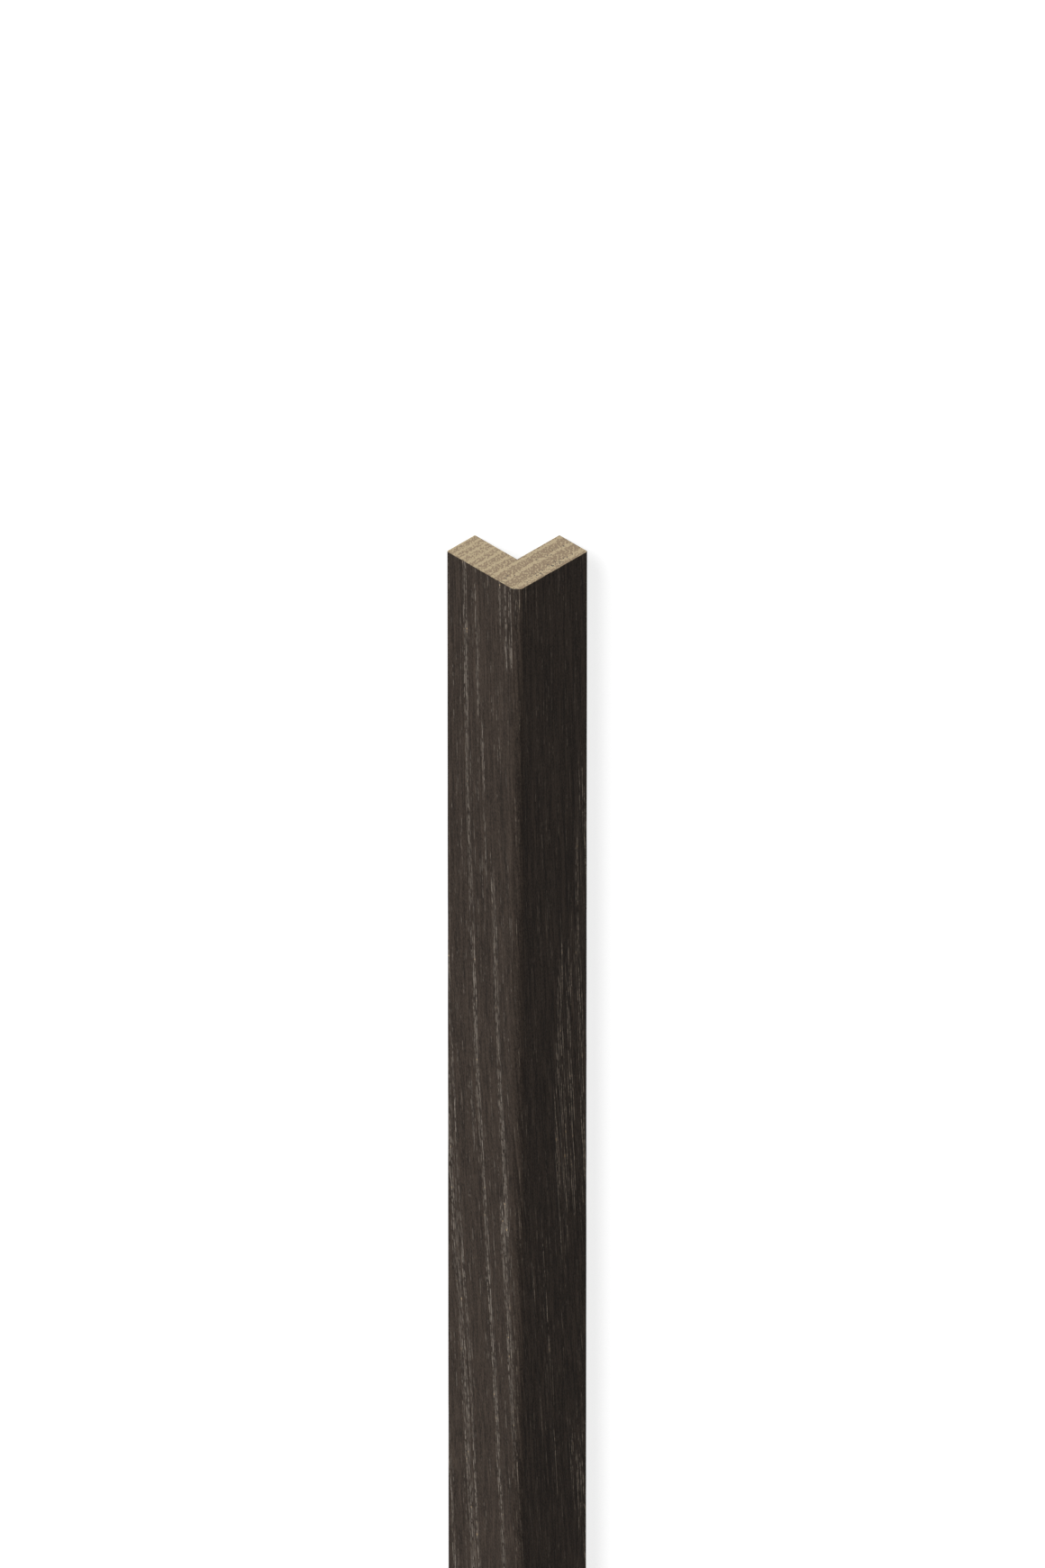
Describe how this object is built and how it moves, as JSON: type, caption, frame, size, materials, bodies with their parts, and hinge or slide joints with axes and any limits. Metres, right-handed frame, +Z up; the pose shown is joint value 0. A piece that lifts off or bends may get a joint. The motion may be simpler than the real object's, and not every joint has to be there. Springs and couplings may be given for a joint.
{
  "type": "corner guard moulding",
  "caption": "Solid wood angle moulding with equal legs, a rounded outer corner and a square inner one, which covers and protects the outside corner of a wall.",
  "frame": {"origin": "on the floor that the moulding lies on, at the middle of its length and midway between its leg tips", "axes": "+Y along the moulding's length, +Z up through its rounded outer corner, X across it from leg tip to leg tip"},
  "size_m": [0.0352, 1.22, 0.0237],
  "materials": {
    "stained_oak": "satin"
  },
  "bodies": {
    "root": {"corner_guard": "stained_oak"}
  },
  "joints": []
}
